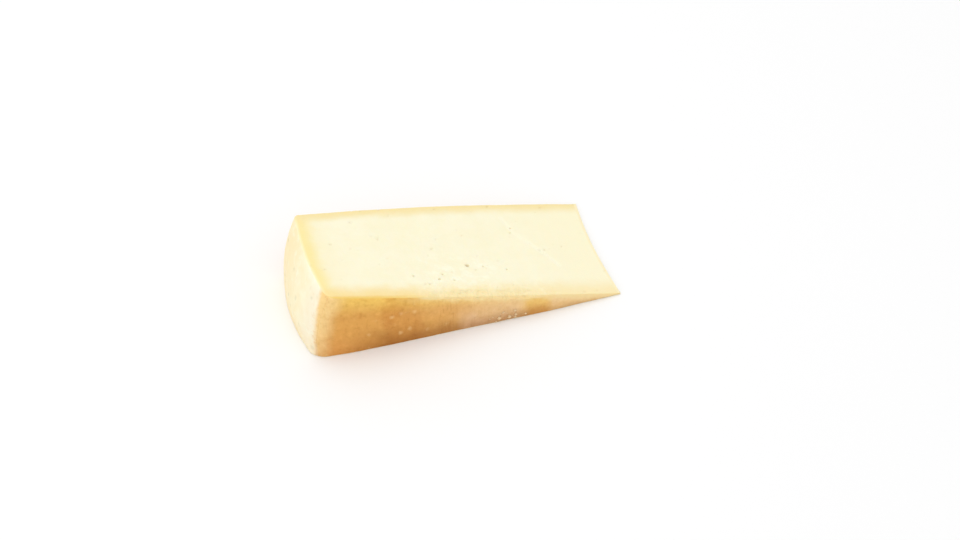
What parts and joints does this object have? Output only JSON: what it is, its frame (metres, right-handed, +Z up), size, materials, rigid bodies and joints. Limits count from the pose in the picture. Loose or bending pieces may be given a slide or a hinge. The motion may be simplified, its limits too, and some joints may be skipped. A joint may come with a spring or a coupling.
{
  "type": "cheese wedge",
  "caption": "Flat-lying wedge cut from a low round table cheese, with pale paste on the cut faces, golden rind on the sides and a rounded pale rind at the thick heel.",
  "frame": {"origin": "centre of the wedge's box, on the surface that its lower cut face rests on", "axes": "+X from the thick heel towards the thin tip, +Y from the near rind face to the far one, +Z up"},
  "size_m": [0.1763, 0.0786, 0.0414],
  "materials": {
    "cheese": "semi-hard cheese: smooth, slightly waxy cream paste on the two cut faces, yellow just under the rind, golden ochre rind on the sides, pale speckled rind on the heel"
  },
  "bodies": {
    "root": {"cheese_wedge": "cheese"}
  },
  "joints": []
}
